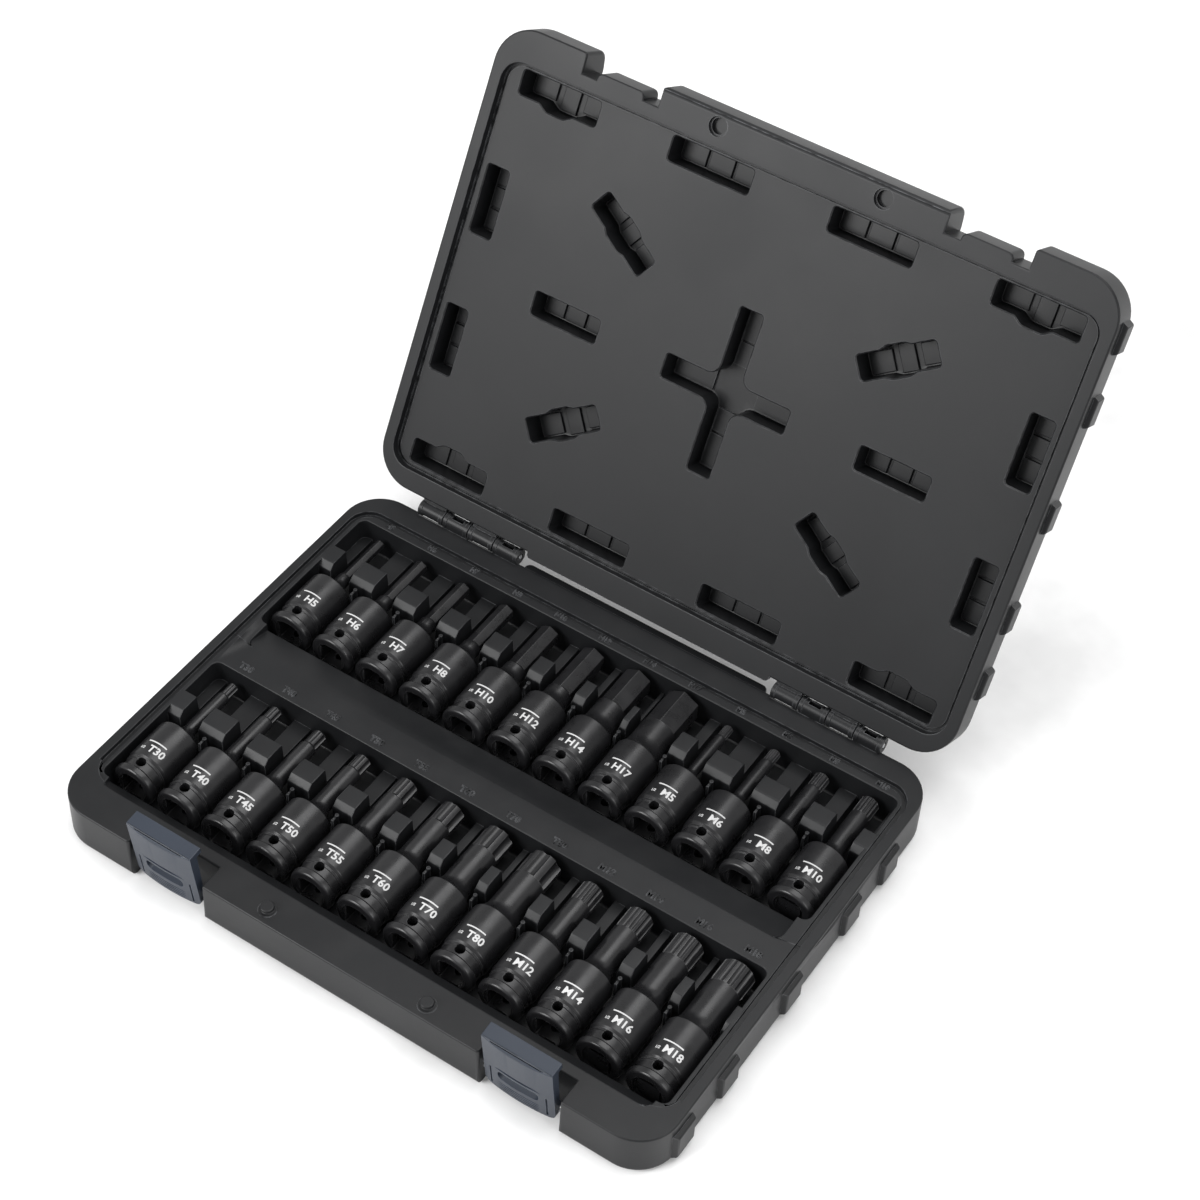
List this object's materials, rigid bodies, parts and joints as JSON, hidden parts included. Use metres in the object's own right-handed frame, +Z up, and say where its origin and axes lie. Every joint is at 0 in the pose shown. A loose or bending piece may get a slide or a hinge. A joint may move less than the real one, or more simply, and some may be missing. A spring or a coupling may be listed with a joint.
{
  "type": "socket set in case",
  "caption": "Set of impact bit sockets with hex, star and spline tips, lying in two rows in a blow-moulded case with a hinged lid and two latches, lid open.",
  "frame": {"origin": "middle of the base's underside", "axes": "+Z up out of the base, +X along the latch side from the smallest socket to the largest, -Y towards the latches, +Y towards the hinges"},
  "size_m": [0.349, 0.3948, 0.2568],
  "materials": {
    "case_plastic": "charcoal-black blow-moulded polyethylene with a fine satin grain",
    "latch_plastic": "blue-grey moulded plastic, satin",
    "black_steel": "black phosphated chrome-molybdenum steel, satin with a light oil sheen",
    "pin_steel": "plain bright steel wire"
  },
  "bodies": {
    "base": {"base_shell": "case_plastic", "hinge_pin_left": "pin_steel", "hinge_pin_right": "pin_steel", "latch_pin_left": "pin_steel", "latch_pin_right": "pin_steel"},
    "lid": {"lid_shell": "case_plastic"},
    "latch_left": {"latch_left": "latch_plastic"},
    "latch_right": {"latch_right": "latch_plastic"},
    "socket_t30": {"socket_t30": "black_steel"},
    "socket_t40": {"socket_t40": "black_steel"},
    "socket_t45": {"socket_t45": "black_steel"},
    "socket_t50": {"socket_t50": "black_steel"},
    "socket_t55": {"socket_t55": "black_steel"},
    "socket_t60": {"socket_t60": "black_steel"},
    "socket_t70": {"socket_t70": "black_steel"},
    "socket_t80": {"socket_t80": "black_steel"},
    "socket_m12": {"socket_m12": "black_steel"},
    "socket_m14": {"socket_m14": "black_steel"},
    "socket_m16": {"socket_m16": "black_steel"},
    "socket_m18": {"socket_m18": "black_steel"},
    "socket_h5": {"socket_h5": "black_steel"},
    "socket_h6": {"socket_h6": "black_steel"},
    "socket_h7": {"socket_h7": "black_steel"},
    "socket_h8": {"socket_h8": "black_steel"},
    "socket_h10": {"socket_h10": "black_steel"},
    "socket_h12": {"socket_h12": "black_steel"},
    "socket_h14": {"socket_h14": "black_steel"},
    "socket_h17": {"socket_h17": "black_steel"},
    "socket_m5": {"socket_m5": "black_steel"},
    "socket_m6": {"socket_m6": "black_steel"},
    "socket_m8": {"socket_m8": "black_steel"},
    "socket_m10": {"socket_m10": "black_steel"}
  },
  "joints": [
    {"name": "lid_hinge", "type": "hinge", "parent": "base", "child": "lid", "pos_m": [0, 0.12905, 0.0296], "axis": [-1, 0, 0], "range_deg": [-118, 0]},
    {"name": "latch_left_hinge", "type": "hinge", "parent": "base", "child": "latch_left", "pos_m": [-0.101, -0.12165, 0.011], "axis": [1, 0, 0], "range_deg": [-6, 80]},
    {"name": "latch_right_hinge", "type": "hinge", "parent": "base", "child": "latch_right", "pos_m": [0.101, -0.12165, 0.011], "axis": [1, 0, 0], "range_deg": [-6, 80]},
    {"name": "lift_t30", "type": "slide", "parent": "base", "child": "socket_t30", "axis": [0, 0, 1], "range_m": [0, 0.06]},
    {"name": "lift_t40", "type": "slide", "parent": "base", "child": "socket_t40", "axis": [0, 0, 1], "range_m": [0, 0.06]},
    {"name": "lift_t45", "type": "slide", "parent": "base", "child": "socket_t45", "axis": [0, 0, 1], "range_m": [0, 0.06]},
    {"name": "lift_t50", "type": "slide", "parent": "base", "child": "socket_t50", "axis": [0, 0, 1], "range_m": [0, 0.06]},
    {"name": "lift_t55", "type": "slide", "parent": "base", "child": "socket_t55", "axis": [0, 0, 1], "range_m": [0, 0.06]},
    {"name": "lift_t60", "type": "slide", "parent": "base", "child": "socket_t60", "axis": [0, 0, 1], "range_m": [0, 0.06]},
    {"name": "lift_t70", "type": "slide", "parent": "base", "child": "socket_t70", "axis": [0, 0, 1], "range_m": [0, 0.06]},
    {"name": "lift_t80", "type": "slide", "parent": "base", "child": "socket_t80", "axis": [0, 0, 1], "range_m": [0, 0.06]},
    {"name": "lift_m12", "type": "slide", "parent": "base", "child": "socket_m12", "axis": [0, 0, 1], "range_m": [0, 0.06]},
    {"name": "lift_m14", "type": "slide", "parent": "base", "child": "socket_m14", "axis": [0, 0, 1], "range_m": [0, 0.06]},
    {"name": "lift_m16", "type": "slide", "parent": "base", "child": "socket_m16", "axis": [0, 0, 1], "range_m": [0, 0.06]},
    {"name": "lift_m18", "type": "slide", "parent": "base", "child": "socket_m18", "axis": [0, 0, 1], "range_m": [0, 0.06]},
    {"name": "lift_h5", "type": "slide", "parent": "base", "child": "socket_h5", "axis": [0, 0, 1], "range_m": [0, 0.06]},
    {"name": "lift_h6", "type": "slide", "parent": "base", "child": "socket_h6", "axis": [0, 0, 1], "range_m": [0, 0.06]},
    {"name": "lift_h7", "type": "slide", "parent": "base", "child": "socket_h7", "axis": [0, 0, 1], "range_m": [0, 0.06]},
    {"name": "lift_h8", "type": "slide", "parent": "base", "child": "socket_h8", "axis": [0, 0, 1], "range_m": [0, 0.06]},
    {"name": "lift_h10", "type": "slide", "parent": "base", "child": "socket_h10", "axis": [0, 0, 1], "range_m": [0, 0.06]},
    {"name": "lift_h12", "type": "slide", "parent": "base", "child": "socket_h12", "axis": [0, 0, 1], "range_m": [0, 0.06]},
    {"name": "lift_h14", "type": "slide", "parent": "base", "child": "socket_h14", "axis": [0, 0, 1], "range_m": [0, 0.06]},
    {"name": "lift_h17", "type": "slide", "parent": "base", "child": "socket_h17", "axis": [0, 0, 1], "range_m": [0, 0.06]},
    {"name": "lift_m5", "type": "slide", "parent": "base", "child": "socket_m5", "axis": [0, 0, 1], "range_m": [0, 0.06]},
    {"name": "lift_m6", "type": "slide", "parent": "base", "child": "socket_m6", "axis": [0, 0, 1], "range_m": [0, 0.06]},
    {"name": "lift_m8", "type": "slide", "parent": "base", "child": "socket_m8", "axis": [0, 0, 1], "range_m": [0, 0.06]},
    {"name": "lift_m10", "type": "slide", "parent": "base", "child": "socket_m10", "axis": [0, 0, 1], "range_m": [0, 0.06]}
  ]
}
